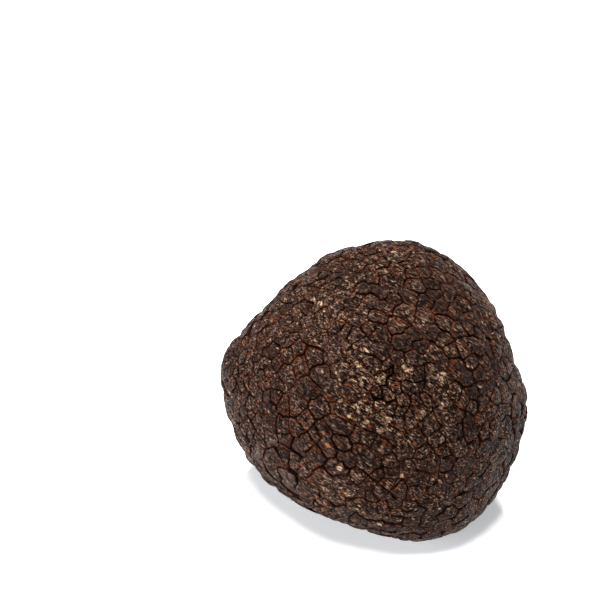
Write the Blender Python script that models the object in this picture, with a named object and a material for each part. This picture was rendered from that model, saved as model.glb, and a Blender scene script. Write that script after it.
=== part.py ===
"""Black truffle, a knobbly round tuber that grew as one piece.

The solid is the form that touches the tips of all the warts: an ellipsoid with
broad swellings and hollows, small knuckles, and the small flat spot that it
rests on. Lengths are in metres and angles in degrees. The origin is on the
floor under the middle of the truffle, +Z is up and -Y is the front.
"""

import math
import random

import bmesh
import bpy
from mathutils import Vector

# Driving dimensions.
HALF_WIDTH = 0.0287
HALF_DEPTH = 0.0300
HALF_HEIGHT = 0.0274
REST_SPOT_CUT = 0.0012
SKIN_SUBDIVISIONS = 5
SNAP_TO_REST = 0.00005
SHARP_RIM_ANGLE = 12.0

# Broad swellings (rise above 0) and hollows (below 0) of the body:
# name, azimuth from +X towards +Y, elevation, angular spread, rise.
SWELLINGS = (
    ("front_right_foot", -45, -40, 33, 0.0043),
    ("left_shoulder", 174, 6, 28, 0.0027),
    ("left_foot", 195, -14, 16, 0.0006),
    ("back_crown", 66, 49, 22, 0.0018),
    ("right_cheek", -4, -4, 13, 0.0013),
    ("lower_cheek", -18, -20, 14, 0.0005),
    ("right_back_slope", 16, 8, 15, -0.0017),
    ("left_back_slope", 154, 30, 18, -0.0025),
    ("front_left_flank", 238, -42, 18, -0.0006),
    ("front_underside", 268, -50, 15, -0.0017),
    ("brow", 262, 44, 24, 0.0007),
    ("front_dimple", 284, 37, 12, -0.0010),
    ("back_bulge", 104, -8, 36, 0.0012),
    ("back_cleft", 62, 2, 15, -0.0018),
    ("rear_left_knob", 142, -14, 18, 0.0008),
    ("crown_top_dent", 106, 51, 9, -0.0006),
    ("crown_left_dent", 138, 41, 7, -0.0014),
    ("left_back_knob", 148, 34, 7, 0.0013),
    ("left_nose_dent", 162, 22, 10, -0.0016),
)

# Small knuckles scattered over the whole body.
KNUCKLE_COUNT = 90
KNUCKLE_SEED = 7
KNUCKLE_SPREAD = (6.0, 13.0)
KNUCKLE_RISE = 0.00042

RIND_COLOUR = (0.050, 0.031, 0.024, 1.0)
RIND_ROUGHNESS = 0.62


def direction(azimuth, elevation):
    """Unit vector at an azimuth from +X towards +Y and an elevation, in degrees."""
    turn = math.radians(azimuth)
    lift = math.radians(elevation)
    return Vector((math.cos(lift) * math.cos(turn), math.cos(lift) * math.sin(turn), math.sin(lift)))


def scattered_knuckles():
    """Knuckles as (direction, spread, rise), even over the sphere, half of them sunk."""
    draw = random.Random(KNUCKLE_SEED)
    knuckles = []
    for index in range(KNUCKLE_COUNT):
        height = draw.uniform(-1.0, 1.0)
        azimuth = draw.uniform(0.0, 360.0)
        towards = direction(azimuth, math.degrees(math.asin(height)))
        sign = 1 if index % 2 else -1
        knuckles.append((towards, draw.uniform(*KNUCKLE_SPREAD), sign * draw.uniform(0.5, 1.0) * KNUCKLE_RISE))
    return knuckles


def surface_radius(towards, bumps):
    """Distance from the body's centre to its surface in a unit direction."""
    ellipsoid = Vector((towards.x / HALF_WIDTH, towards.y / HALF_DEPTH, towards.z / HALF_HEIGHT))
    radius = 1.0 / ellipsoid.length
    for middle, spread, rise in bumps:
        away = math.degrees(towards.angle(middle, 0.0)) / spread
        radius += rise * math.exp(-away * away)
    return radius


def shape_body(bm):
    """Grows a unit icosphere into the truffle's rounded body, centred on the origin."""
    bmesh.ops.create_icosphere(bm, subdivisions=SKIN_SUBDIVISIONS, radius=1.0)
    bumps = [(direction(azimuth, elevation), spread, rise) for _, azimuth, elevation, spread, rise in SWELLINGS]
    bumps += scattered_knuckles()
    for vert in bm.verts:
        towards = vert.co.normalized()
        vert.co = towards * surface_radius(towards, bumps)


def cut_rest_spot(bm):
    """Takes a thin slice off the underside and closes it with one flat face."""
    lowest = min(vert.co.z for vert in bm.verts)
    level = lowest + REST_SPOT_CUT
    bmesh.ops.bisect_plane(
        bm,
        geom=bm.verts[:] + bm.edges[:] + bm.faces[:],
        dist=SNAP_TO_REST,
        plane_co=(0.0, 0.0, level),
        plane_no=(0.0, 0.0, 1.0),
        use_snap_center=True,
        clear_inner=True,
    )
    rim = [edge for edge in bm.edges if edge.is_boundary]
    bmesh.ops.contextual_create(bm, geom=rim)
    for vert in {vert for edge in rim for vert in edge.verts}:
        vert.co.z = level


def stand_on_origin(bm):
    """Moves the body so that its box stands on the origin."""
    low = Vector([min(vert.co[axis] for vert in bm.verts) for axis in range(3)])
    high = Vector([max(vert.co[axis] for vert in bm.verts) for axis in range(3)])
    middle = (low + high) / 2
    bmesh.ops.translate(bm, verts=bm.verts[:], vec=(-middle.x, -middle.y, -low.z))


def rind_material():
    """Dark brown, dull rind."""
    material = bpy.data.materials.new("rind")
    material.use_nodes = True
    shader = material.node_tree.nodes["Principled BSDF"]
    shader.inputs["Base Color"].default_value = RIND_COLOUR
    shader.inputs["Roughness"].default_value = RIND_ROUGHNESS
    shader.inputs["Metallic"].default_value = 0.0
    return material


def make_truffle():
    """The whole truffle as one object in its own collection."""
    bm = bmesh.new()
    shape_body(bm)
    cut_rest_spot(bm)
    stand_on_origin(bm)
    bmesh.ops.recalc_face_normals(bm, faces=bm.faces[:])
    mesh = bpy.data.meshes.new("truffle")
    bm.to_mesh(mesh)
    bm.free()
    mesh.shade_smooth()
    mesh.set_sharp_from_angle(angle=math.radians(SHARP_RIM_ANGLE))
    mesh.materials.append(rind_material())
    truffle = bpy.data.objects.new("truffle", mesh)
    collection = bpy.data.collections.new("black_truffle")
    bpy.context.scene.collection.children.link(collection)
    collection.objects.link(truffle)
    return truffle


for leftover in list(bpy.data.objects):
    bpy.data.objects.remove(leftover)
make_truffle()
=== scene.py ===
"""Black truffle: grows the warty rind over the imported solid, colours it and sets it on a pale table.

Lengths are in metres unless a comment says mm, and angles are in degrees unless it says radians.
"""

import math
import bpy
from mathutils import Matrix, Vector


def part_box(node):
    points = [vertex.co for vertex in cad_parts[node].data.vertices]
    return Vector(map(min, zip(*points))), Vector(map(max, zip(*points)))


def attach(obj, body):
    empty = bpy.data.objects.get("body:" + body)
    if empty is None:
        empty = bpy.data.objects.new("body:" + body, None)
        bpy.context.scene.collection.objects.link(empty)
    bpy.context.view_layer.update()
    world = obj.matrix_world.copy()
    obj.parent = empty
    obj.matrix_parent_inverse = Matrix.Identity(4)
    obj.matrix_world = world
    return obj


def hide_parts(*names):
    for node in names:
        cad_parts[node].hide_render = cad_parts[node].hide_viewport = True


bl_info = {
    "name": "Black Truffle",
    "version": (1, 0, 0),
    "blender": (4, 5, 0),
    "location": "View3D > Sidebar > Truffle",
    "description": "Grows the cracked, warty rind of a black truffle and sets a plain studio",
    "category": "Object",
}

import bmesh
import bpy
import numpy as np
from bpy.props import FloatProperty, FloatVectorProperty, IntProperty, PointerProperty
from mathutils import Vector, noise
from mathutils.bvhtree import BVHTree
from mathutils.kdtree import KDTree

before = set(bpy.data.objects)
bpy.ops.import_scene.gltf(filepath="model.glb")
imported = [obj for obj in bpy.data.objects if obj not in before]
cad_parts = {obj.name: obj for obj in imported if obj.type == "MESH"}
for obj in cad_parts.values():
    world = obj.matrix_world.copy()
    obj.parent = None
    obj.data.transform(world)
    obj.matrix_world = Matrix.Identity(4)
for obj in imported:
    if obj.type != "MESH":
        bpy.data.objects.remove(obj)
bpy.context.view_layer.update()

NODE = "truffle"
BODY = "root"
MM = 0.001
SHARP_ANGLE = 35

LOW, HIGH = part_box(NODE)
MIDDLE = (LOW + HIGH) / 2
BODY_RADIUS = (HIGH - LOW).length / 2 / math.sqrt(3)

# How near to each other the corners of the solid's loose triangles are that belong together.
WELD = 0.001 * MM

# How many random places are tried for the warts.
SITE_TRIES = 20000

# How near a random wart may be to one beside a fold, as a share of the usual pitch.
FIXED_SHARE = 0.6

# Places on the truffle are an azimuth from +X towards +Y and an elevation, in degrees, seen from its
# middle.
# Places where the warts are larger or smaller than usual: azimuth, elevation, spread, change in size.
WART_SIZE_PLACES = (
    ("broad_front_left", 248, 5, 22, 0.42),
    ("fine_middle", 276, 34, 15, -0.30),
    ("fine_right", 312, 20, 22, -0.22),
    ("fine_left_end", 205, 18, 24, -0.36),
    ("fine_crown_left", 200, 62, 18, -0.22),
)

# Folds, the long cracks that run on past several warts: azimuth and elevation of both ends, strength.
FOLDS = (
    ("dimple_slash", 280, 44, 274, 34, 2.2),
    ("dimple_foot", 269, 34, 278, 31, 1.8),
    ("brow_left", 262, 50, 273, 47, 1.3),
    ("brow_right", 273, 47, 280, 44, 1.3),
    ("brow_tail", 281, 38, 292, 37, 1.2),
    ("cheek_upper", 241, 17, 250, 10, 1.4),
    ("cheek_lower", 235, 5, 245, 4, 1.2),
    ("front_upper", 252, 20, 257, 14, 1.2),
    ("front_short", 259, 17, 266, 15, 1.2),
    ("front_lower", 267, 4, 278, -6, 1.3),
    ("front_upright", 274, 8, 274, -1, 1.2),
    ("front_foot", 266, -10, 278, -9, 1.3),
)

# Pits and dimples in the rind: azimuth, elevation, radius in mm, depth in mm.
PITS = (
    ("dimple", 280, 42, 1.7, 1.1),
    ("dimple_tail", 275, 36, 1.2, 0.8),
    ("dimple_foot", 272, 33, 1.0, 0.4),
)

# Places where the rind is rougher and scuffed down to the paler flesh: azimuth, elevation, spread,
# strength.
SCUFFS = (
    ("beside_dimple", 273.5, 39.5, 2.4, 2.6),
    ("dimple_right", 286, 42, 5, 0.65),
    ("under_brow", 262, 46, 9, 0.8),
    ("left_of_dimple", 264, 31, 7, 0.8),
    ("below_dimple", 272, 26, 8, 0.7),
    ("right_upper", 302, 36, 6, 0.6),
    ("right_middle", 303, 27, 6, 0.5),
    ("front_middle", 283, 18, 7, 0.45),
    ("front_right", 297, 14, 6, 0.5),
    ("front_low_left", 257, -7, 6, 0.9),
    ("right_low", 329, -3, 7, 0.6),
    ("crown", 71, 69, 8, 0.7),
    ("crown_left", 221, 72, 9, 0.6),
    ("smooth_front_left", 247, 10, 11, -0.7),
    ("smooth_crown_right", 345, 60, 14, -0.4),
    ("smooth_left_slope", 238, 38, 9, -0.4),
)

# Large flecks, worn down to the paler flesh: azimuth, elevation, radius in mm, whether rusty.
FLECKS = (
    ("dimple", 274, 39, 1.0, False),
    ("dimple_right", 286, 43, 0.6, False),
    ("dimple_ridge", 281, 38, 0.6, True),
    ("middle_low_left", 263, 29, 0.6, False),
    ("middle_low", 268, 28.5, 0.65, False),
    ("middle_lower", 267, 24, 0.6, False),
    ("right_upper", 302, 36, 0.6, False),
    ("right_middle", 299, 27, 0.6, False),
    ("right_rusty", 307, 24, 0.65, True),
    ("front_right", 297, 14, 0.6, False),
    ("front_left_ridge_top", 250.5, 17, 0.5, True),
    ("front_left_ridge_end", 253, 12.5, 0.5, True),
    ("low_left", 253, -7, 0.65, False),
    ("low_middle", 261, -7.5, 0.65, False),
    ("front_left_knob", 258, 4.5, 0.55, False),
    ("right_foot", 329, -3, 0.55, False),
    ("crown", 71, 69, 0.7, False),
    ("crown_rusty", 74, 66, 0.7, True),
)

# A line that no two parts of the rind lie level on.
ORDER_LINE = Vector((0.5931, 0.7177, 0.3653))

# How far apart the three parts of a smooth random vector are taken.
NOISE_SHIFTS = ((7.3, 1.9, -4.1), (-11.7, 23.4, 5.2), (31.6, -8.8, 17.5))

# Way that the grain of the rind runs, and how many times it turns on the way round the truffle.
GRAIN = Vector((0.83, -0.345, -0.44))
GRAIN_TURNS = 2.2

# Cracks: the range of strength drawn for each, what a patch of strong ones adds and how many patches
# there are on the way round, and how much a scuffed place takes away.
CRACK_STRENGTH = (0.4, 0.95)
PATCH_STRENGTH = 0.4
PATCH_TURNS = 9.0
SCUFF_CLOSES = 0.35

# How near to a fold a crack has to be to belong to it, and how near a side may be to be opened.
ON_FOLD = 0.5 * MM
FOLD_CLEARANCE = 1.0 * MM

# How finely a fold is marked for finding what lies near it.
FOLD_MARK = 0.3 * MM

# Length of the waves that the cracks wander in.
CROOK_WAVE = 1.6 * MM

# A crack's width against the usual one: least, what its strength adds, and the most.
NARROWEST, WIDEST = 0.35, 2.2

# How far in from the rim, as a share of the way to the peak, a wart's lip, shoulder and flank may be.
LIP_REACH, SHOULDER_REACH = 0.3, 0.5
FLANK_REACH, FLANK_SWING, FLANK_TURNS = 0.64, 0.08, 60

# Edge tone of the lip and the shoulder of a wart, as shares of their crack's strength; it sets the painted
# shade and the rust along the cracks.
LIP_TONE, SHOULDER_TONE = 0.7, 0.25

# Thickness that the rings of a wart are first inset by, before each point is put in its place.
FIRST_INSET = 0.00001

# Highest of the warts over the usual rise, and how much lower they are where scuffed.
TOP_RISE = 1.2
SCUFF_LOWERS = 0.3

# Range of the warts' rise and of how domed they are, and the largest gain of a wide wart.
RISE_RANGE = (0.35, 1.4)
SWELL_RANGE = (0.0, 0.7)
WIDE_GAIN = 1.3

# Lengths in mm of the waves of the lumps and of the grain, how much a scuffed place adds to the grain,
# and how much of it is random from point to point.
LUMP_WAVE, GRAIN_WAVE = 4.0, 1.1
SCUFF_GRAIN = 1.5
SPECK_SHARE = 0.4


def direction(azimuth, elevation):
    """Unit vector at an azimuth from +X towards +Y and an elevation, in degrees."""
    turn, lift = math.radians(azimuth), math.radians(elevation)
    return Vector((math.cos(lift) * math.cos(turn), math.cos(lift) * math.sin(turn), math.sin(lift)))


def falloff(towards, place, spread):
    """1 at a place, fading to nothing past its spread, both in degrees."""
    away = math.degrees(towards.angle(place, 0.0)) / spread
    return math.exp(-away * away)


# ---------------------------------------------------------------- the rind's form


def solid_surface():
    """Ray-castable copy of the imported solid, with its loose triangles joined."""
    bm = bmesh.new()
    bm.from_mesh(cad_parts[NODE].data)
    bmesh.ops.remove_doubles(bm, verts=bm.verts[:], dist=WELD)
    tree = BVHTree.FromBMesh(bm)
    bm.free()
    return tree


def nearest_finder(points):
    """KD-tree over a list of points."""
    tree = KDTree(len(points))
    for index, point in enumerate(points):
        tree.insert(point, index)
    tree.balance()
    return tree


def smooth_random(place):
    """Random vector that changes smoothly from place to place."""
    return Vector([noise.noise(place + Vector(shift)) for shift in NOISE_SHIFTS])


def grain_at(place, form):
    """Unit tangent along which the warts round a place are longest."""
    run = GRAIN + smooth_random(place * GRAIN_TURNS) * form.grain_wander
    return (run - place * run.dot(place)).normalized()


def scatter(fixed, pitch_at, form):
    """Unit vectors that keep a pitch, in radians, from each other and from fixed ones."""
    draw = np.random.default_rng(form.seed)
    points = draw.normal(size=(SITE_TRIES, 3))
    points /= np.linalg.norm(points, axis=1)[:, None]
    room = draw.uniform(1 - form.wart_variety, 1 + form.wart_variety, SITE_TRIES)
    points = [*fixed, *map(Vector, points)]
    room = [1.0] * len(fixed) + list(room)
    tree = nearest_finder(points)
    free = [True] * len(points)
    kept = []
    for index, place in enumerate(points):
        if not free[index]:
            continue
        kept.append(place)
        pitch = pitch_at(place) * room[index]
        run = grain_at(place, form)
        for spot, near, away in tree.find_range(place, pitch * form.wart_stretch):
            along = run * (spot - place).dot(run)
            away = (spot - place - along + along / form.wart_stretch).length
            if away < pitch * (1.0 if near >= len(fixed) else FIXED_SHARE):
                free[near] = False
    return kept


def cells_around(sites):
    """Bmesh of the unit sphere split into one polygon for each site, like the warts of a rind."""
    bm = bmesh.new()
    for site in sites:
        bm.verts.new(site)
    bmesh.ops.convex_hull(bm, input=bm.verts[:])
    site_verts = bm.verts[:]
    hull_edges = bm.edges[:]
    centres = bmesh.ops.poke(bm, faces=bm.faces[:])["verts"]
    corners = []
    for vert in centres:
        a, b, c = sorted((edge.other_vert(vert).co for edge in vert.link_edges), key=ORDER_LINE.dot)
        normal = (b - a).cross(c - a).normalized()
        corners.append((vert, normal if normal.dot(a) > 0 else -normal))
    bmesh.ops.rotate_edges(bm, edges=hull_edges, use_ccw=False)
    for vert, corner in corners:
        vert.co = corner
    bmesh.ops.dissolve_verts(bm, verts=site_verts)
    return bm


def put_in_order(bm):
    """Numbers corners, sides and warts along one line, so that random draws meet the same ones."""
    bm.verts.sort(key=lambda vert: vert.co.dot(ORDER_LINE))
    bm.edges.sort(key=lambda edge: (edge.verts[0].co + edge.verts[1].co).dot(ORDER_LINE))
    bm.faces.sort(key=lambda face: face.calc_center_median().dot(ORDER_LINE))


class Fold:
    """A long crack along an arc of the unit sphere."""

    def __init__(self, start, end, strength):
        self.strength = strength
        self.start, self.end = direction(*start), direction(*end)

    def points(self, step):
        """Points along the arc, at most a step apart, in radians."""
        count = max(2, round(self.start.angle(self.end) / step) + 1)
        return [self.start.slerp(self.end, number / (count - 1)) for number in range(count)]

    def sites(self, pitch):
        """Pairs of sites on both sides of the arc, which make the border between them lie on it."""
        aside = self.start.cross(self.end).normalized() * (0.5 * pitch)
        return [(place + side * aside).normalized() for place in self.points(pitch) for side in (1, -1)]


class Wart:
    """One wart: where its peak is, how high it stands, how it leans and how its sides differ."""

    def __init__(self, face, form, draw, corner):
        middle = face.calc_center_median().normalized()
        reach = sum((vert.co - middle).length for vert in face.verts) / len(face.verts) * BODY_RADIUS
        wander = Vector(draw.normal(size=3)) * form.peak_wander * reach / BODY_RADIUS
        self.peak = (middle + wander).normalized()
        self.rise = form.wart_rise * draw.uniform(*RISE_RANGE) * min(WIDE_GAIN, 2 * reach / form.wart_size)
        self.lift = draw.uniform(0, 1) * form.wart_lift
        self.slope = Vector(draw.normal(size=3)) * form.wart_slope
        self.swell = draw.uniform(*SWELL_RANGE)
        self.lean = {}
        lean = draw.normal() * form.facet_lift
        verts = face.verts[:]
        first = min(range(len(verts)), key=lambda number: verts[number].co.dot(ORDER_LINE))
        for vert in verts[first:] + verts[:first]:
            if vert[corner]:
                lean = draw.normal() * form.facet_lift
                self.lean[vert] = form.ridge_lift * draw.uniform(0, 1)
            else:
                self.lean[vert] = lean

    def height(self, place, inward, root):
        """Height over the rim at a place that is a share of the way inward from the rim to the peak."""
        dome = inward * (2 - inward)
        up = self.rise * (self.swell * dome + (1 - self.swell) * inward) + self.lift
        up += 4 * inward * (1 - inward) * self.lean.get(root, 0.0)
        return up + self.slope.dot(place - self.peak) * BODY_RADIUS


class RindForm:
    """The rind as a mesh on the unit sphere, with how deep each point lies under the highest tips."""

    def __init__(self, form):
        self.form = form
        self.draw = np.random.default_rng(form.seed + 3)
        self.size_places = [
            (direction(a, e), spread, change) for _, a, e, spread, change in WART_SIZE_PLACES
        ]
        self.scuffs = [(direction(a, e), spread, strength) for _, a, e, spread, strength in SCUFFS]
        self.pits = [
            (direction(a, e), math.degrees(radius * MM / BODY_RADIUS), depth * MM)
            for _, a, e, radius, depth in PITS
        ]
        self.folds = [Fold((a, b), (c, d), strength) for _, a, b, c, d, strength in FOLDS]
        step = FOLD_MARK / BODY_RADIUS
        marks = [(point, fold.strength) for fold in self.folds for point in fold.points(step)]
        self.fold_strength = [strength for _, strength in marks]
        self.fold_tree = nearest_finder([point for point, _ in marks])

    def pitch_at(self, place):
        """Spacing of the warts round a place, in radians."""
        changes = (change * falloff(place, middle, spread) for middle, spread, change in self.size_places)
        return self.form.wart_size * (1.0 + sum(changes)) / BODY_RADIUS

    def scuffed(self, place):
        """How scuffed a place is, from below 0 where it is smooth to 1."""
        scuffs = (strength * falloff(place, middle, spread) for middle, spread, strength in self.scuffs)
        return min(1.0, sum(scuffs))

    def on_fold(self, place):
        """Strength of the fold nearest to a place and how far away it is."""
        _, index, away = self.fold_tree.find(place)
        return self.fold_strength[index], away * BODY_RADIUS

    def grow(self):
        """Makes the whole rind and returns its bmesh."""
        form = self.form
        beside = [site for fold in self.folds for site in fold.sites(form.wart_size / BODY_RADIUS)]
        self.bm = cells_around(scatter(beside, self.pitch_at, form))
        put_in_order(self.bm)
        bmesh.ops.remove_doubles(self.bm, verts=self.bm.verts[:], dist=form.shortest_side / BODY_RADIUS)
        put_in_order(self.bm)
        self.join_warts()
        self.grade_cracks()
        self.split_sides()
        self.crook_cracks()
        self.raise_warts()
        return self.bm

    def join_warts(self):
        """Joins some neighbouring warts into longer and crooked ones."""
        joined = set()
        sides = []
        for edge in self.bm.edges:
            middle = (edge.verts[0].co + edge.verts[1].co).normalized()
            lot = self.draw.uniform()
            if lot > self.form.joined_share or joined & set(edge.link_faces):
                continue
            if self.on_fold(middle)[1] < FOLD_CLEARANCE:
                continue
            joined.update(edge.link_faces)
            sides.append(edge)
        bmesh.ops.dissolve_edges(self.bm, edges=sides, use_verts=False)
        put_in_order(self.bm)

    def grade_cracks(self):
        """Gives each crack a strength, from a faint seam to an open fold."""
        layer = self.bm.edges.layers.float.new("strength")
        corner = self.bm.verts.layers.int.new("corner")
        for vert in self.bm.verts:
            vert[corner] = 1
        for edge in self.bm.edges:
            middle = (edge.verts[0].co + edge.verts[1].co).normalized()
            strength, away = self.on_fold(middle)
            patchy = 0.5 + 0.5 * noise.noise(middle * PATCH_TURNS)
            usual = self.draw.uniform(*CRACK_STRENGTH) + PATCH_STRENGTH * patchy
            edge[layer] = usual * (1 - SCUFF_CLOSES * self.scuffed(middle))
            if away < ON_FOLD:
                edge[layer] = strength

    def split_sides(self):
        """Cuts the sides of the warts into short lengths of about one size."""
        segment = self.form.segment / BODY_RADIUS
        by_cuts = {}
        for edge in self.bm.edges:
            by_cuts.setdefault(max(1, round(edge.calc_length() / segment) - 1), []).append(edge)
        for cuts, edges in sorted(by_cuts.items()):
            bmesh.ops.bisect_edges(self.bm, edges=edges, cuts=cuts)
        put_in_order(self.bm)

    def crook_cracks(self):
        """Bends the cracks, so that no side of a wart is straight."""
        form = self.form
        bend, jitter = form.crack_bend / BODY_RADIUS, form.crack_jitter / BODY_RADIUS
        for vert, shift in zip(self.bm.verts, self.draw.normal(size=(len(self.bm.verts), 3))):
            wander = smooth_random(vert.co * BODY_RADIUS / CROOK_WAVE) * bend
            vert.co = (vert.co + wander + Vector(shift) * jitter).normalized()

    def raise_warts(self):
        """Gives each wart its lip, shoulder, flank and peak, and its cracks their floors."""
        bm, form = self.bm, self.form
        strength_layer = bm.edges.layers.float["strength"]
        corner = bm.verts.layers.int["corner"]
        cell_layer = bm.faces.layers.int.new("cell")
        sink_layer = bm.verts.layers.float.new("sink")
        edge_layer = bm.verts.layers.float.new("edge")
        cells = bm.faces[:]
        warts = [Wart(face, form, self.draw, corner) for face in cells]
        for wart in warts:
            wart.rise *= 1 - SCUFF_LOWERS * self.scuffed(wart.peak)
        top = form.wart_rise * TOP_RISE + form.wart_lift
        strength = {vert: max(edge[strength_layer] for edge in vert.link_edges) for vert in bm.verts}
        for vert in bm.verts:
            vert[sink_layer] = top - 0.5 * form.wart_lift + form.crack_depth * strength[vert]
            vert[edge_layer] = strength[vert]
        for index, face in enumerate(cells):
            face[cell_layer] = index
        self.cell_count = len(cells)

        root = {}
        for ring in ("lip", "shoulder", "flank"):
            bmesh.ops.inset_individual(bm, faces=cells, thickness=FIRST_INSET, use_even_offset=False)
            for wart, face in zip(warts, cells):
                for loop in face.loops:
                    vert = loop.vert
                    outward = next(edge for edge in vert.link_edges if face not in edge.link_faces)
                    outer = outward.other_vert(vert)
                    start = root[vert] = root.get(outer, outer)
                    away = (start.co - wart.peak).length * BODY_RADIUS
                    open_share = strength[start]
                    half = form.crack_width / 2 * min(WIDEST, NARROWEST + open_share)
                    shade = drop = 0.0
                    if ring == "lip":
                        inward = min(LIP_REACH, half / away)
                        shade = LIP_TONE
                        drop = form.lip_drop * open_share
                    elif ring == "shoulder":
                        inward = min(SHOULDER_REACH, (half + form.shoulder_width) / away)
                        shade = SHOULDER_TONE
                    else:
                        inward = FLANK_REACH + FLANK_SWING * noise.noise(start.co * FLANK_TURNS)
                    vert.co = start.co.lerp(wart.peak, inward).normalized()
                    vert[sink_layer] = top - wart.height(vert.co, inward, start) + drop
                    vert[edge_layer] = shade * min(1.0, open_share)
        for vert in bmesh.ops.poke(bm, faces=cells)["verts"]:
            wart = warts[vert.link_faces[0][cell_layer]]
            vert.co = wart.peak
            vert[sink_layer] = top - wart.height(vert.co, 1.0, None)
            vert[edge_layer] = 0.0
        self.roughen(sink_layer)

    def roughen(self, sink_layer):
        """Adds lumps, grit, folds and pits to all that has been raised."""
        form = self.form
        put_in_order(self.bm)
        grit = self.draw.normal(size=len(self.bm.verts))
        for vert, speck in zip(self.bm.verts, grit):
            place = vert.co * BODY_RADIUS / MM
            coarse = 1.0 + SCUFF_GRAIN * self.scuffed(vert.co)
            sink = vert[sink_layer] + form.lump_height * noise.noise(place / LUMP_WAVE)
            sink += form.grain_height * coarse * (noise.noise(place / GRAIN_WAVE) + SPECK_SHARE * speck)
            strength, away = self.on_fold(vert.co)
            sink += form.fold_depth * strength * math.exp(-((away / form.fold_reach) ** 2))
            for middle, spread, depth in self.pits:
                sink += depth * falloff(vert.co, middle, spread)
            vert[sink_layer] = max(0.0, sink)


def settle_on_solid(bm):
    """Takes the rind from the unit sphere to the solid, each point at its depth under the surface."""
    tree = solid_surface()
    sink_layer = bm.verts.layers.float["sink"]
    for vert in bm.verts:
        towards = vert.co.normalized()
        hit = tree.ray_cast(MIDDLE, towards)[0]
        vert.co = hit - towards * vert[sink_layer]


# Column and row of the map's square for each side of the cube, by axis and sign.
CHARTS = {
    (0, 1): (0, 0),
    (0, -1): (1, 0),
    (1, 1): (2, 0),
    (1, -1): (0, 1),
    (2, 1): (1, 1),
    (2, -1): (2, 1),
}

# How much wider each square is than what it holds.
CHART_MARGIN = 1.08


def lay_out_map(bm):
    """A map with one square for each side of a cube round the truffle, spread evenly by angle."""
    layer = bm.loops.layers.uv.new("OFBake")
    for face in bm.faces:
        middle = face.calc_center_median() - MIDDLE
        axis = max(range(3), key=lambda number: abs(middle[number]))
        sign = 1 if middle[axis] > 0 else -1
        column, row = CHARTS[axis, sign]
        across, along = [number for number in range(3) if number != axis]
        for loop in face.loops:
            place = loop.vert.co - MIDDLE
            depth = abs(place[axis])
            u = math.atan(place[across] / depth) / (math.pi / 4) / CHART_MARGIN
            v = math.atan(place[along] / depth) / (math.pi / 4) / CHART_MARGIN
            loop[layer].uv = ((column + 0.5 + u / 2) / 3, (row + 0.5 + v / 2) / 2)


def tint(name, description, colour):
    """Property for a colour."""
    return FloatVectorProperty(
        name=name, description=description, default=(*colour, 1.0), subtype="COLOR", size=4
    )


def spot(name, description, place):
    """Property for a place in the studio, in metres."""
    return FloatVectorProperty(
        name=name, description=description, default=place, subtype="XYZ", unit="LENGTH"
    )


def span(name, description, metres):
    """Property for a length in the studio, in metres."""
    return FloatProperty(
        name=name, description=description, default=metres, subtype="DISTANCE", unit="LENGTH"
    )


def length(name, description, millimetres):
    """Property for a length on the truffle, given in millimetres."""
    return FloatProperty(
        name=name,
        description=description,
        default=millimetres * MM,
        precision=5,
        subtype="DISTANCE",
        unit="LENGTH",
    )


def amount(name, description, value):
    """Property for a plain number."""
    return FloatProperty(name=name, description=description, default=value)


class TruffleForm(bpy.types.PropertyGroup):
    """Sizes of the rind"""

    seed: IntProperty(name="Seed", description="Which random rind is grown", default=11)
    wart_size: length("Wart size", "Usual least spacing of the warts", 2.35)
    wart_variety: amount("Wart variety", "How unlike in size the warts are", 0.4)
    wart_stretch: amount("Wart stretch", "How long the warts are along the grain", 1.25)
    grain_wander: amount("Grain wander", "How much the grain changes its way", 2.2)
    joined_share: amount("Joined share", "Share of the sides where two warts are one", 0.09)
    shortest_side: length("Shortest side", "Sides of a wart shorter than this are closed up", 0.5)
    segment: length("Segment", "Length of the pieces that the sides of a wart bend between", 0.48)
    crack_bend: length("Crack bend", "How far the cracks wander from straight lines", 0.5)
    crack_jitter: length("Crack jitter", "How ragged the cracks are", 0.05)
    crack_depth: length("Crack depth", "Depth of a crack below the rims of its warts", 0.46)
    crack_width: length("Crack width", "Width of a crack between its lips", 0.21)
    shoulder_width: length("Shoulder width", "Width of the rounded rim of a wart", 0.25)
    lip_drop: length("Lip drop", "How far a rim drops into its crack", 0.06)
    wart_rise: length("Wart rise", "Height of a wart's peak over its rim", 0.36)
    wart_lift: length("Wart lift", "How much whole warts differ in height", 0.12)
    wart_slope: amount("Wart slope", "How much whole warts tilt", 0.06)
    peak_wander: amount("Peak wander", "How far peaks are off the middle", 0.2)
    facet_lift: length("Facet lift", "How much the sides of a wart bulge or sag", 0.08)
    ridge_lift: length("Ridge lift", "Height of the ridges from the peak to the corners", 0.11)
    lump_height: length("Lump height", "Height of the lumps that run under several warts", 0.30)
    grain_height: length("Grain height", "Roughness of the warts", 0.07)
    fold_depth: length("Fold depth", "Depth of the valley along a fold", 0.20)
    fold_reach: length("Fold reach", "Half width of the valley along a fold", 0.7)


class TRUFFLE_OT_grow_rind(bpy.types.Operator):
    """Grow the cracked and warty rind over the truffle's solid"""

    bl_idname = "truffle.grow_rind"
    bl_label = "Grow Rind"

    def execute(self, context):
        rind = RindForm(context.scene.truffle_form)
        bm = rind.grow()
        settle_on_solid(bm)
        bmesh.ops.recalc_face_normals(bm, faces=bm.faces[:])
        lay_out_map(bm)
        write_tones(bm, rind)
        bmesh.ops.triangulate(bm, faces=bm.faces[:])
        mesh = bpy.data.meshes.new("truffle_rind")
        bm.to_mesh(mesh)
        bm.free()
        mesh.shade_smooth()
        mesh.set_sharp_from_angle(angle=math.radians(SHARP_ANGLE))
        piece = bpy.data.objects.new("truffle_rind", mesh)
        context.scene.collection.objects.link(piece)
        mesh.materials.append(rind_skin(context.scene.truffle_skin))
        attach(piece, BODY)
        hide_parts(NODE)
        print("rind", len(mesh.polygons), "triangles", rind.cell_count, "warts")
        return {"FINISHED"}


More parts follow.
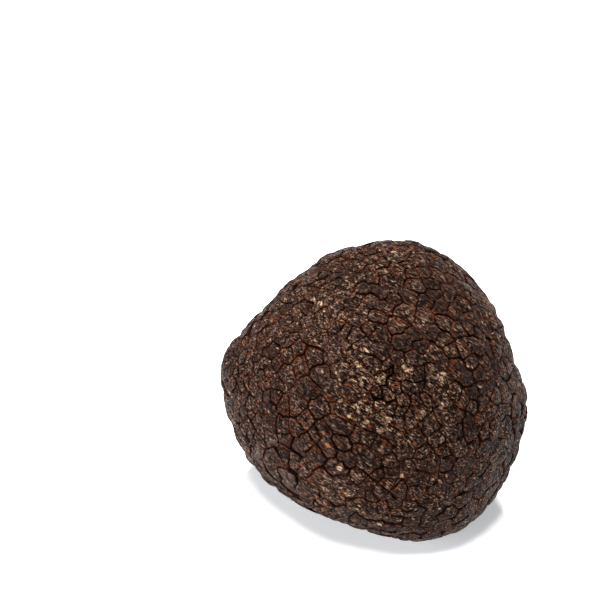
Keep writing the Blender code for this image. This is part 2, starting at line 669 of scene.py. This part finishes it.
def write_tones(bm, rind):
    """Stores the tone of each wart and how scuffed each point is, for the skin's colours."""
    draw = np.random.default_rng(rind.form.seed + 5)
    tone = draw.uniform(0, 1, rind.cell_count)
    cell_layer = bm.faces.layers.int["cell"]
    wart = bm.faces.layers.float.new("wart_tone")
    scuff = bm.verts.layers.float.new("scuff")
    for face in bm.faces:
        face[wart] = tone[face[cell_layer]]
    for vert in bm.verts:
        vert[scuff] = rind.scuffed((vert.co - MIDDLE).normalized())


# ---------------------------------------------------------------- the rind's skin


# Where the colour sockets of a Mix node are.
COLOUR_A, COLOUR_B, COLOUR_RESULT = 6, 7, 2

# Turns X onto the way that the grain runs.
GRAIN_TURN = GRAIN.to_track_quat("X", "Z").to_euler()

# How much longer than wide the marks of the skin are.
RELIEF_STRETCH = 1.6
STREAK_STRETCH = 4.2
CHIP_STRETCH = 1.7
FLECK_STRETCH = 1.6

# About how many marks there are to a millimetre.
RELIEF_SCALE = 1.5
STREAK_SCALE = 4.0
CHIP_SCALE = 1.45
GRIT_SCALE = 2.9
PATCH_SCALE = 0.16
BLOTCH_SCALE = 0.6
SEAM_SCALE = 0.62
SEAM_PATCH_SCALE = 0.45
RIM_PATCH_SCALE = 0.9
WARP_SCALE = 0.9

# Detail and roughness of the relief's noise, and detail, roughness and distortion of the blotches'.
RELIEF_NOISE = (3.0, 0.62)
BLOTCH_NOISE = (3.0, 0.6, 0.4)

# How far the finer marks are warped, in mm.
WARP = 0.9

# How deep the middle of a large fleck is under the solid, and the share of its radius that is full.
FLECK_DEPTH = 0.45 * MM
FLECK_CORE = 0.6

# Ramps of the skin, each as low, high, bottom, top: a pattern from low to high gives bottom to top.
# Fine seams across the warts, darkened with painted shade, and where they are.
SEAM_LINE = (0.0, 0.075, 1.0, 0.0)
SEAM_PATCHES = (0.42, 0.6, 0.0, 1.0)
# How rough the skin is by its broad patches, and what that does to its tones.
PATCH_ROUGH = (0.38, 0.62, 0.15, 0.70)
ROUGH_CONTRAST = (0.15, 1.1, 0.62, 1.3)
ROUGH_TONE = (0.15, 1.1, 0.44, 0.49)
# How much paler or darker each pattern makes the skin. The relief and the streaks are painted light on the
# ridges and painted shade in the hollows of their bumps, and the edge tone and the seams are painted shade
# in the cracks.
RELIEF_SHADING = (0.34, 0.66, -0.27, 0.27)
STREAK_SHADING = (0.38, 0.62, -0.45, 0.45)
WART_TONE = (0.0, 1.0, -0.11, 0.07)
SCUFF_TONE = (0.0, 1.0, 0.0, 0.03)
EDGE_SHADE = (0.32, 0.78, 0.0, -0.75)
CHIP_TONE = (0.0, 1.0, -0.18, 0.18)
GRIT_TONE = (0.0, 1.0, -0.12, 0.12)
# Crevices between the chips, filled with painted shade, and which chips and grit are worn down to the
# paler flesh.
CREVICE_LINE = (0.02, 0.12, 1.0, 0.0)
WORN_CHIPS = (0.975, 1.005, 0.0, 1.0)
WORN_GRIT = (0.965, 0.99, 0.0, 1.0)
# Rust along the rims of the cracks and in blotches, broken up by patches and streaks.
RIM_INNER = (0.08, 0.25, 0.0, 1.0)
RIM_OUTER = (0.4, 0.7, 1.0, 0.0)
RIM_PATCHES = (0.36, 0.56, 0.0, 1.0)
RUST_BLOTCHES = (0.55, 0.68, 0.0, 1.0)
RUST_PATCHES = (0.38, 0.62, 0.35, 1.0)
RUST_STREAKS = (0.40, 0.6, 0.1, 0.85)
# Streaks that break up the flecks and the worn chips, and which of those are sand or rust.
FLECK_STREAKS = (0.38, 0.54, 0.15, 0.95)
CHIP_STREAKS = (0.38, 0.54, 0.2, 1.0)
CHIP_IS_SAND = (0.15, 0.55, 0.0, 1.0)
CHIP_IS_RUST = (0.65, 0.85, 0.0, 1.0)
# Roughness of the surface by its streaks.
STREAK_GLOSS = (0.3, 0.7, 0.7, 0.42)

# What a scuffed place adds to the roughness of the skin and to the lots that make worn chips and grit.
SCUFF_ROUGH = 0.6
SCUFF_CHIPS = 0.055
SCUFF_GRIT = 0.07

# How much darker a seam is, as painted shade, and how much a crevice is filled with painted shade.
SEAM_SHADE = -0.30
CREVICE_SHADE = 0.9

# Where each colour stands between the darkest tone at 0, painted shade at the bottoms of the cracks, and
# the palest at 1.
CRACK_SHADE_AT, BARK_AT, UMBER_AT, CLAY_AT, SAND_AT = 0.04, 0.22, 0.48, 0.76, 1.0

# Heights in mm of the patterns, too fine for the mesh.
RELIEF_BUMP = 0.36
STREAK_BUMP = 0.72
SEAM_BUMP = -0.14
CREVICE_BUMP = -0.20
CHIP_BUMP = 0.12
GRIT_BUMP = 0.07

# The dull shine of the skin.
SHINE = 0.07
SHINE_COLOUR = (1.0, 0.8, 0.68, 1)


class Weave:
    """Small helper that adds and joins the nodes of one material."""

    def __init__(self, material):
        material.use_nodes = True
        self.tree = material.node_tree
        self.shader = self.tree.nodes["Principled BSDF"]

    def add(self, kind, settings=(), **sockets):
        """New node with some of its settings and sockets given."""
        node = self.tree.nodes.new(kind)
        for name, value in dict(settings).items():
            setattr(node, name, value)
        for name, value in sockets.items():
            self.put(node.inputs[name.replace("_", " ")], value)
        return node

    def put(self, socket, value):
        """Gives a socket a value or a link."""
        if isinstance(value, bpy.types.NodeSocket):
            self.tree.links.new(value, socket)
        else:
            socket.default_value = value

    def math(self, operation, first, second):
        """Result of an operation on two values."""
        node = self.tree.nodes.new("ShaderNodeMath")
        node.operation = operation
        self.put(node.inputs[0], first)
        self.put(node.inputs[1], second)
        return node.outputs[0]

    def ramp(self, value, low, high, bottom, top):
        """Smooth step from bottom at low to top at high."""
        node = self.add("ShaderNodeMapRange", {"interpolation_type": "SMOOTHSTEP"}, Value=value)
        node.inputs["From Min"].default_value = low
        node.inputs["From Max"].default_value = high
        node.inputs["To Min"].default_value = bottom
        node.inputs["To Max"].default_value = top
        return node.outputs["Result"]

    def mix(self, factor, first, second):
        """Mix of two colours."""
        node = self.tree.nodes.new("ShaderNodeMix")
        node.data_type = "RGBA"
        self.put(node.inputs["Factor"], factor)
        self.put(node.inputs[COLOUR_A], first)
        self.put(node.inputs[COLOUR_B], second)
        return node.outputs[COLOUR_RESULT]

    def noise(self, place, scale, detail, roughness=0.5, distortion=0.0):
        """Noise round 0.5 at a place."""
        sockets = {"Scale": scale, "Detail": detail, "Roughness": roughness, "Distortion": distortion}
        return self.add("ShaderNodeTexNoise", Vector=place, **sockets).outputs["Fac"]

    def stretched(self, place, share):
        """A place with the way that the grain runs squeezed, so that patterns on it come out long."""
        node = self.add("ShaderNodeMapping", {"vector_type": "TEXTURE"}, Vector=place)
        node.inputs["Rotation"].default_value = GRAIN_TURN
        node.inputs["Scale"].default_value = (share, 1.0, 1.0)
        return node.outputs["Vector"]

    def attribute(self, name):
        """Value stored on the mesh under a name."""
        return self.add("ShaderNodeAttribute", {"attribute_name": name}).outputs["Fac"]


class TruffleSkin(bpy.types.PropertyGroup):
    """Colours of the rind"""

    # The darkest colour is painted shade at the bottoms of the cracks and in the crevices. Bark is painted
    # shade in the hollows of the warts. Clay and sand on the raised grain and its tips are partly painted
    # light on the ridges and partly paler worn tips.
    crack_shade: tint("Crack shade", "Bottom of the cracks", (0.0022, 0.0005, 0.0002))
    bark: tint("Bark", "Hollows of the warts", (0.0085, 0.0030, 0.0021))
    umber: tint("Umber", "Usual colour of the warts", (0.0198, 0.0089, 0.0070))
    clay: tint("Clay", "Raised grain", (0.063, 0.034, 0.0250))
    sand: tint("Sand", "Tips of the grain", (0.225, 0.136, 0.089))
    tan: tint("Tan", "Scuffed tips", (0.47, 0.302, 0.180))
    ochre: tint("Ochre", "Rusty large flecks", (0.25, 0.085, 0.032))
    rust: tint("Rust", "Reddish rims of the cracks", (0.140, 0.035, 0.010))


def large_flecks(weave, place, rusty):
    """Mask of the large flecks of one kind, long along the grain."""
    spots = weave.stretched(place, FLECK_STRETCH)
    tree = solid_surface()
    shift = Vector((1, 1, 1)) * (WARP / 2)
    mask = 0.0
    for _, azimuth, elevation, radius, is_rusty in FLECKS:
        if is_rusty != rusty:
            continue
        towards = direction(azimuth, elevation)
        point = (tree.ray_cast(MIDDLE, towards)[0] - towards * FLECK_DEPTH) / MM + shift
        point.rotate(GRAIN_TURN.to_matrix().inverted())
        point.x /= FLECK_STRETCH
        away = weave.add("ShaderNodeVectorMath", {"operation": "DISTANCE"}, Vector=spots)
        away.inputs[1].default_value = point
        fleck = weave.ramp(away.outputs["Value"], FLECK_CORE * radius, radius, 1.0, 0.0)
        mask = weave.math("MAXIMUM", fleck, mask)
    return mask


def random_chips(weave, place, scale):
    """Small chips along the grain: two random numbers for each one and how far its edge is."""
    place = weave.stretched(place, CHIP_STRETCH)
    cells = weave.add("ShaderNodeTexVoronoi", Vector=place, Scale=scale)
    lot = weave.add("ShaderNodeSeparateColor", Color=cells.outputs["Color"])
    border = weave.add("ShaderNodeTexVoronoi", {"feature": "DISTANCE_TO_EDGE"}, Vector=place, Scale=scale)
    return lot.outputs["Red"], lot.outputs["Green"], border.outputs["Distance"]


class Marks:
    """Patterns of the skin, most of them from 0 to 1."""

    def __init__(self, weave):
        own = weave.add("ShaderNodeTexCoord").outputs["Object"]
        scaled = weave.add("ShaderNodeVectorMath", {"operation": "SCALE"}, Vector=own, Scale=1 / MM)
        self.place = place = scaled.outputs["Vector"]
        self.edge = weave.attribute("edge")
        self.wart = weave.attribute("wart_tone")
        self.scuff = weave.attribute("scuff")
        # The relief and the streaks make the bumps and also painted light on their ridges and painted
        # shade in their hollows.
        self.relief = weave.noise(weave.stretched(place, RELIEF_STRETCH), RELIEF_SCALE, *RELIEF_NOISE)
        self.streak = weave.noise(weave.stretched(place, STREAK_STRETCH), STREAK_SCALE, 1.0)
        self.patch = weave.noise(place, PATCH_SCALE, 2.0)
        self.blotch = weave.noise(place, BLOTCH_SCALE, *BLOTCH_NOISE)
        self.warped = self.warp(weave)
        cells = weave.add(
            "ShaderNodeTexVoronoi", {"feature": "DISTANCE_TO_EDGE"}, Vector=self.warped, Scale=SEAM_SCALE
        )
        line = weave.ramp(cells.outputs["Distance"], *SEAM_LINE)
        seamed = weave.ramp(weave.noise(place, SEAM_PATCH_SCALE, 1.0), *SEAM_PATCHES)
        self.seam = weave.math("MULTIPLY", line, seamed)
        by_patch = weave.ramp(self.patch, *PATCH_ROUGH)
        self.rough = weave.math("ADD", by_patch, weave.math("MULTIPLY", self.scuff, SCUFF_ROUGH))
        self.chip, self.chip_lot, border = random_chips(weave, self.warped, CHIP_SCALE)
        self.grit, self.grit_lot, _ = random_chips(weave, self.warped, GRIT_SCALE)
        # Crevices between the chips: they sink the bump and are filled with painted shade.
        self.crevice = weave.math("MULTIPLY", weave.ramp(border, *CREVICE_LINE), self.rough)

    def warp(self, weave):
        """A place moved a little by noise."""
        noise_colour = weave.add(
            "ShaderNodeTexNoise", Vector=self.place, Scale=WARP_SCALE, Detail=2.0
        ).outputs["Color"]
        node = weave.add("ShaderNodeVectorMath", {"operation": "MULTIPLY_ADD"}, Vector=noise_colour)
        node.inputs[1].default_value = (WARP, WARP, WARP)
        weave.put(node.inputs[2], self.place)
        return node.outputs["Vector"]


def skin_tone(weave, marks):
    """How pale the skin is, from the painted shade of the cracks to sand. The relief and the streaks add
    painted light on their ridges and painted shade in their hollows, and the seams and crack edges add
    painted shade.
    """
    relief, streak = weave.ramp(marks.relief, *RELIEF_SHADING), weave.ramp(marks.streak, *STREAK_SHADING)
    tone = weave.math("ADD", relief, streak)
    tone = weave.math("MULTIPLY", tone, weave.ramp(marks.rough, *ROUGH_CONTRAST))
    for change in (
        weave.ramp(marks.rough, *ROUGH_TONE),
        weave.ramp(marks.wart, *WART_TONE),
        weave.ramp(marks.scuff, *SCUFF_TONE),
        weave.math("MULTIPLY", marks.seam, SEAM_SHADE),
        weave.ramp(marks.edge, *EDGE_SHADE),
        weave.math("MULTIPLY", weave.ramp(marks.chip, *CHIP_TONE), marks.rough),
        weave.ramp(marks.grit, *GRIT_TONE),
    ):
        tone = weave.math("ADD", tone, change)
    return tone


def tone_colour(weave, tone, skin):
    """Colour of a tone."""
    ramp = weave.add("ShaderNodeValToRGB", Fac=tone)
    stops = ramp.color_ramp.elements
    for position, colour in ((BARK_AT, skin.bark), (UMBER_AT, skin.umber), (CLAY_AT, skin.clay)):
        stops.new(position).color = colour
    # The darkest stop is painted shade at the bottoms of the cracks.
    stops[0].position, stops[0].color = CRACK_SHADE_AT, skin.crack_shade
    stops[-1].position, stops[-1].color = SAND_AT, skin.sand
    return ramp.outputs["Color"]


def rusty_places(weave, marks):
    """Where the skin is rusty: along the rims of the cracks and in blotches."""
    rim = weave.math("MULTIPLY", weave.ramp(marks.edge, *RIM_INNER), weave.ramp(marks.edge, *RIM_OUTER))
    rim_patch = weave.noise(marks.place, RIM_PATCH_SCALE, 2.0)
    rim = weave.math("MULTIPLY", rim, weave.ramp(rim_patch, *RIM_PATCHES))
    rusty = weave.math("MAXIMUM", weave.ramp(marks.blotch, *RUST_BLOTCHES), rim)
    rusty = weave.math("MULTIPLY", rusty, weave.ramp(marks.patch, *RUST_PATCHES))
    return weave.math("MULTIPLY", rusty, weave.ramp(marks.streak, *RUST_STREAKS))


def worn(weave, lot, scuff, scuff_share, ramp):
    """Which chips are worn down to the paler flesh, more of them where the rind is scuffed."""
    return weave.ramp(weave.math("ADD", lot, weave.math("MULTIPLY", scuff, scuff_share)), *ramp)


def skin_colour(weave, marks, skin):
    """Colour of the skin with its rust, flecks, worn chips and the painted shade of its crevices."""
    paints = (skin.crack_shade, skin.sand, skin.tan, skin.ochre, skin.rust)
    crack_shade, sand, tan, ochre, rust = (list(paint) for paint in paints)
    colour = tone_colour(weave, skin_tone(weave, marks), skin)
    colour = weave.mix(rusty_places(weave, marks), colour, rust)
    broken = weave.ramp(marks.streak, *FLECK_STREAKS)
    for is_rusty, fleck_colour in ((True, ochre), (False, tan)):
        flecks = large_flecks(weave, marks.warped, is_rusty)
        colour = weave.mix(weave.math("MULTIPLY", flecks, broken), colour, fleck_colour)
    chips = worn(weave, marks.chip, marks.scuff, SCUFF_CHIPS, WORN_CHIPS)
    grit = worn(weave, marks.grit, marks.scuff, SCUFF_GRIT, WORN_GRIT)
    for strength, lot in ((chips, marks.chip_lot), (grit, marks.grit_lot)):
        shade = weave.mix(weave.ramp(lot, *CHIP_IS_SAND), tan, sand)
        shade = weave.mix(weave.ramp(lot, *CHIP_IS_RUST), shade, rust)
        strength = weave.math("MULTIPLY", strength, weave.ramp(marks.streak, *CHIP_STREAKS))
        colour = weave.mix(strength, colour, shade)
    # Painted shade fills the crevices between the chips.
    return weave.mix(weave.math("MULTIPLY", marks.crevice, CREVICE_SHADE), colour, crack_shade)


def rind_skin(skin):
    """Dull, dry rind: umber warts with paler raised clay grain, partly painted light, rusty rims, tan
    scuffs and cracks with painted shade.
    """
    material = bpy.data.materials.new("truffle_rind_skin")
    weave = Weave(material)
    marks = Marks(weave)
    weave.put(weave.shader.inputs["Base Color"], skin_colour(weave, marks, skin))
    weave.put(weave.shader.inputs["Roughness"], weave.ramp(marks.streak, *STREAK_GLOSS))
    weave.shader.inputs["Specular IOR Level"].default_value = SHINE
    weave.shader.inputs["Specular Tint"].default_value = SHINE_COLOUR
    height = weave.math("MULTIPLY", marks.relief, RELIEF_BUMP)
    for mark, lift in (
        (marks.streak, STREAK_BUMP),
        (marks.seam, SEAM_BUMP),
        (marks.crevice, CREVICE_BUMP),
        (marks.chip, CHIP_BUMP),
        (marks.grit, GRIT_BUMP),
    ):
        height = weave.math("ADD", height, weave.math("MULTIPLY", mark, lift))
    bump = weave.add("ShaderNodeBump", Height=height, Strength=1.0, Distance=MM)
    weave.put(weave.shader.inputs["Normal"], bump.outputs["Normal"])
    return material


# ---------------------------------------------------------------- the studio


class TruffleStudio(bpy.types.PropertyGroup):
    """Camera, table and lights"""

    elevation: FloatProperty(
        name="Elevation",
        description="Camera height angle above the table",
        default=math.radians(38),
        subtype="ANGLE",
        unit="ROTATION",
    )
    distance: span("Distance", "Camera to the middle of the truffle", 0.42)
    aim_right: span("Aim right", "How far right of the truffle the camera aims", -0.0153)
    aim_up: span("Aim up", "How far above the truffle the camera aims", 0.0163)
    lens: amount("Lens", "Focal length in mm", 126.0)
    floor_colour: tint("Table", "Colour of the table", (0.78, 0.80, 0.825))
    floor_glow: amount("Table glow", "Light that shines up through the table", 0.405)
    sky_strength: amount("Surroundings", "Brightness of the white surroundings", 0.17)
    key_power: amount("Key power", "Power of the softbox behind the truffle, in watts", 11.5)
    key_size: span("Key size", "Width of that softbox", 0.12)
    key_place: spot("Key place", "Middle of that softbox", (0.04, 0.33, 0.66))
    fill_power: amount("Fill power", "Power of the softbox on the left, in watts", 7.0)
    fill_size: span("Fill size", "Width of that softbox", 0.6)
    fill_place: spot("Fill place", "Middle of that softbox", (-0.54, -0.32, 0.10))
    front_power: amount("Front power", "Power of the softbox over the camera, in watts", 7.4)
    front_size: span("Front size", "Width of that softbox", 0.14)
    front_place: spot("Front place", "Middle of that softbox", (-0.065, -0.437, 0.785))


# Half the width of the table, how near and far the camera sees, and the tint of the room.
TABLE_HALF = 4.0
CAMERA_RANGE = (0.01, 20)
ROOM_COLOUR = (0.95, 0.98, 1.0, 1)

# The table's surface: scale and strength of its mottle, roughness, shine and the tint of its glow.
TABLE_MOTTLE_SCALE = 30.0
TABLE_MOTTLE = 0.03
TABLE_ROUGHNESS = 0.9
TABLE_SHINE = 0.1
TABLE_GLOW_COLOUR = (0.97, 0.985, 1.0, 1)


def aimed(thing, at):
    """Turns a light or camera so that it looks at a point."""
    thing.rotation_euler = (at - thing.location).to_track_quat("-Z", "Y").to_euler()


def add_camera(context, studio):
    """Adds the camera in front of the truffle."""
    back = Vector((0, -math.cos(studio.elevation), math.sin(studio.elevation)))
    up = Vector((0, math.sin(studio.elevation), math.cos(studio.elevation)))
    right = Vector((1, 0, 0))
    data = bpy.data.cameras.new("camera")
    data.lens = studio.lens
    data.dof.use_dof = False
    camera = bpy.data.objects.new("camera", data)
    camera.location = MIDDLE + back * studio.distance
    aimed(camera, MIDDLE + right * studio.aim_right + up * studio.aim_up)
    data.clip_start, data.clip_end = CAMERA_RANGE
    context.scene.collection.objects.link(camera)
    context.scene.camera = camera


def add_softbox(context, name, place, power, size):
    """Adds a round soft light that faces the truffle."""
    data = bpy.data.lights.new(name, "AREA")
    data.shape = "DISK"
    data.size = size
    data.energy = power
    light = bpy.data.objects.new(name, data)
    light.location = place
    aimed(light, MIDDLE)
    context.scene.collection.objects.link(light)


def add_floor(context, studio):
    """Adds the pale table that the truffle lies on."""
    bm = bmesh.new()
    bmesh.ops.create_grid(bm, x_segments=1, y_segments=1, size=TABLE_HALF)
    mesh = bpy.data.meshes.new("table")
    bm.to_mesh(mesh)
    bm.free()
    material = bpy.data.materials.new("pale_table")
    weave = Weave(material)
    own = weave.add("ShaderNodeTexCoord").outputs["Object"]
    mottle = weave.math("MULTIPLY", weave.noise(own, TABLE_MOTTLE_SCALE, 2.0), TABLE_MOTTLE)
    shade = weave.mix(mottle, list(studio.floor_colour), (1, 1, 1, 1))
    weave.put(weave.shader.inputs["Base Color"], shade)
    weave.shader.inputs["Roughness"].default_value = TABLE_ROUGHNESS
    weave.shader.inputs["Specular IOR Level"].default_value = TABLE_SHINE
    weave.shader.inputs["Emission Color"].default_value = TABLE_GLOW_COLOUR
    weave.shader.inputs["Emission Strength"].default_value = studio.floor_glow
    mesh.materials.append(material)
    floor = bpy.data.objects.new("table", mesh)
    context.scene.collection.objects.link(floor)


class TRUFFLE_OT_set_stage(bpy.types.Operator):
    """Set the pale table, the soft lights and the camera"""

    bl_idname = "truffle.set_stage"
    bl_label = "Set Stage"

    def execute(self, context):
        studio = context.scene.truffle_studio
        add_floor(context, studio)
        add_softbox(context, "key_softbox", studio.key_place, studio.key_power, studio.key_size)
        add_softbox(context, "fill_softbox", studio.fill_place, studio.fill_power, studio.fill_size)
        add_softbox(context, "front_softbox", studio.front_place, studio.front_power, studio.front_size)
        world = bpy.data.worlds.new("white_room")
        world.use_nodes = True
        background = world.node_tree.nodes["Background"]
        background.inputs["Color"].default_value = ROOM_COLOUR
        background.inputs["Strength"].default_value = studio.sky_strength
        context.scene.world = world
        context.scene.view_settings.view_transform = "Standard"
        add_camera(context, studio)
        return {"FINISHED"}


class TRUFFLE_PT_panel(bpy.types.Panel):
    """Lists the truffle's sizes, colours and steps"""

    bl_idname = "TRUFFLE_PT_panel"
    bl_label = "Black Truffle"
    bl_space_type = "VIEW_3D"
    bl_region_type = "UI"
    bl_category = "Truffle"

    def draw(self, context):
        layout = self.layout
        for group, step in (
            (context.scene.truffle_form, TRUFFLE_OT_grow_rind),
            (context.scene.truffle_skin, None),
            (context.scene.truffle_studio, TRUFFLE_OT_set_stage),
        ):
            box = layout.box()
            for name in group.__annotations__:
                box.prop(group, name)
            if step:
                box.operator(step.bl_idname)


CLASSES = (
    TruffleForm,
    TruffleSkin,
    TruffleStudio,
    TRUFFLE_OT_grow_rind,
    TRUFFLE_OT_set_stage,
    TRUFFLE_PT_panel,
)


def register():
    for each in CLASSES:
        bpy.utils.register_class(each)
    bpy.types.Scene.truffle_form = PointerProperty(type=TruffleForm)
    bpy.types.Scene.truffle_skin = PointerProperty(type=TruffleSkin)
    bpy.types.Scene.truffle_studio = PointerProperty(type=TruffleStudio)


def unregister():
    del bpy.types.Scene.truffle_studio
    del bpy.types.Scene.truffle_skin
    del bpy.types.Scene.truffle_form
    for each in reversed(CLASSES):
        bpy.utils.unregister_class(each)


def main():
    """Builds the truffle and its studio."""
    register()
    bpy.ops.truffle.grow_rind()
    bpy.ops.truffle.set_stage()


if __name__ == "__main__":
    main()
